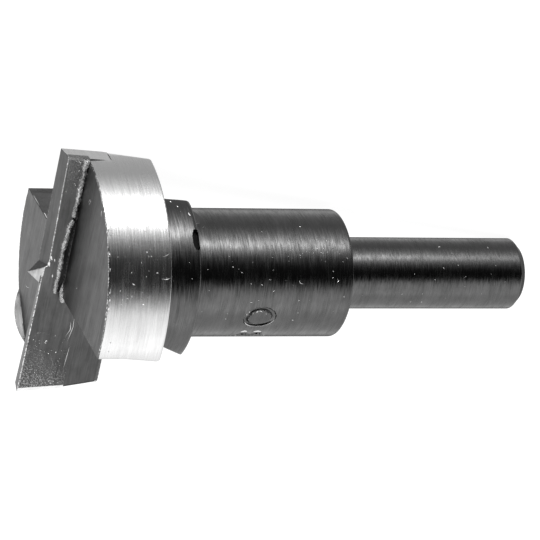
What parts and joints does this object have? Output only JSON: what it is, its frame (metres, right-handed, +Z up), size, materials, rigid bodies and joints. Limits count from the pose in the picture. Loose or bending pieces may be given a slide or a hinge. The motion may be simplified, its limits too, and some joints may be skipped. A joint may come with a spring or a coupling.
{
  "type": "hinge boring bit",
  "caption": "Hinge boring bit with a plain round shank, a stepped collar, a disc head with open chip gullets, a full-width brazed cutting blade and a centre point.",
  "frame": {"origin": "centre of the footprint, on the surface that the bit lies on", "axes": "+Z up, +X along the tool's axis towards the end of the shank as seen from above"},
  "size_m": [0.0586, 0.0294, 0.0244],
  "materials": {
    "blackened_steel": "turned and blackened, with the rim of the head ground bright",
    "hard_metal": "dark sintered hard metal with ground edges",
    "braze": "bright, uneven solidified braze"
  },
  "bodies": {
    "root": {"cutter_body": "blackened_steel", "cutting_blade": "hard_metal", "braze_bead_near": "braze", "braze_bead_far": "braze"}
  },
  "joints": []
}
